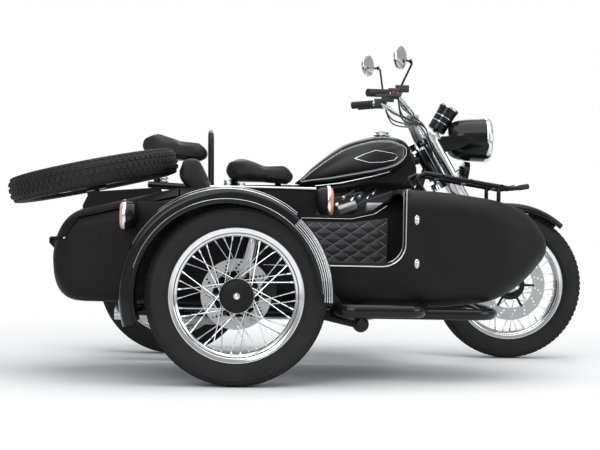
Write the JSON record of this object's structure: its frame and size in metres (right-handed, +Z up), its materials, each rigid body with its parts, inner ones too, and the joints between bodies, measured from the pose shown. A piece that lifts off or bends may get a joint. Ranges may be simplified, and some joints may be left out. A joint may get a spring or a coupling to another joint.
{
  "type": "sidecar motorcycle",
  "caption": "Classic flat-engined motorcycle with a boat-shaped sidecar on its right, wire wheels, sprung saddles and a spare wheel on the boot lid.",
  "frame": {"origin": "on the floor under the middle of the machine's overall box", "axes": "+X ahead, +Y to the rider's left (the sidecar is on -Y), +Z up"},
  "size_m": [2.4471, 1.603, 1.378],
  "materials": {
    "tyre": "matt moulded rubber, dusty grey-black",
    "wheel_chrome": "bright chrome rim, spokes and hub",
    "disc_steel": "ground steel with a dark carrier",
    "satin_black": "satin black paint with a soft sheen",
    "gloss_black": "deep gloss black paint",
    "chrome": "bright chrome",
    "grip_rubber": "ribbed black rubber",
    "control_black": "black housings, levers in bare metal",
    "lens": "clear lens with a chrome ring",
    "cast_aluminium": "dull cast alloy",
    "intake_black": "black ducts and air box",
    "red_lens": "red lamp lens on a black housing",
    "leather": "black grained leather with stitched seams",
    "quilted_leather": "dark grey quilting with pale thread",
    "trim_chrome": "bright edge trim over a black bead",
    "lamp_chrome": "chrome lamp shells with lenses, white ahead and red behind"
  },
  "bodies": {
    "machine": {"frame": "gloss_black", "engine": "cast_aluminium", "drive": "cast_aluminium", "cylinders": "cast_aluminium", "intake": "intake_black", "exhausts": "chrome", "swing_arm": "gloss_black", "shocks": "chrome", "rear_fender": "gloss_black", "tail_lamp": "red_lens", "fuel_tank": "gloss_black", "fuel_cap": "chrome", "driver_saddle": "leather", "pillion_saddle": "leather", "saddle_frames": "gloss_black", "chassis": "gloss_black", "struts": "gloss_black", "side_swing_arm": "gloss_black", "body": "satin_black", "coaming": "trim_chrome", "inner_panel": "quilted_leather", "seat_cushion": "leather", "backrest": "leather", "side_lamps": "lamp_chrome", "side_fender": "gloss_black", "nose_rack": "gloss_black"},
    "steering": {"fork": "chrome", "handlebar": "chrome", "grips": "grip_rubber", "controls": "control_black", "mirrors": "chrome", "headlamp_shell": "gloss_black", "headlamp_glass": "lens", "gauge": "chrome", "horn": "gloss_black", "front_fender": "gloss_black", "front_caliper": "cast_aluminium"},
    "front_wheel": {"front_tyre": "tyre", "front_rim": "wheel_chrome", "front_disc": "disc_steel"},
    "rear_wheel": {"rear_tyre": "tyre", "rear_rim": "wheel_chrome"},
    "sidecar_wheel": {"sidecar_tyre": "tyre", "sidecar_rim": "wheel_chrome", "sidecar_disc": "disc_steel", "hub_cap": "satin_black"},
    "lid": {"boot_lid": "satin_black", "spare_carrier": "chrome", "spare_tyre": "tyre", "spare_rim": "wheel_chrome"}
  },
  "joints": [
    {"name": "steering_head", "type": "hinge", "parent": "machine", "child": "steering", "pos_m": [0.84154, 0.4115, 0.3], "axis": [-0.5, 0, 0.866], "range_deg": [-35, 35]},
    {"name": "front_spin", "type": "hinge", "parent": "steering", "child": "front_wheel", "pos_m": [0.8935, 0.4115, 0.33], "axis": [0, 1, 0], "continuous": true},
    {"name": "rear_spin", "type": "hinge", "parent": "machine", "child": "rear_wheel", "pos_m": [-0.6045, 0.4115, 0.33], "axis": [0, 1, 0], "continuous": true},
    {"name": "sidecar_spin", "type": "hinge", "parent": "machine", "child": "sidecar_wheel", "pos_m": [-0.3415, -0.7195, 0.33], "axis": [0, 1, 0], "continuous": true},
    {"name": "lid_hinge", "type": "hinge", "parent": "machine", "child": "lid", "pos_m": [-1.0405, -0.3145, 0.512], "axis": [0, -1, 0], "range_deg": [0, 70]}
  ]
}
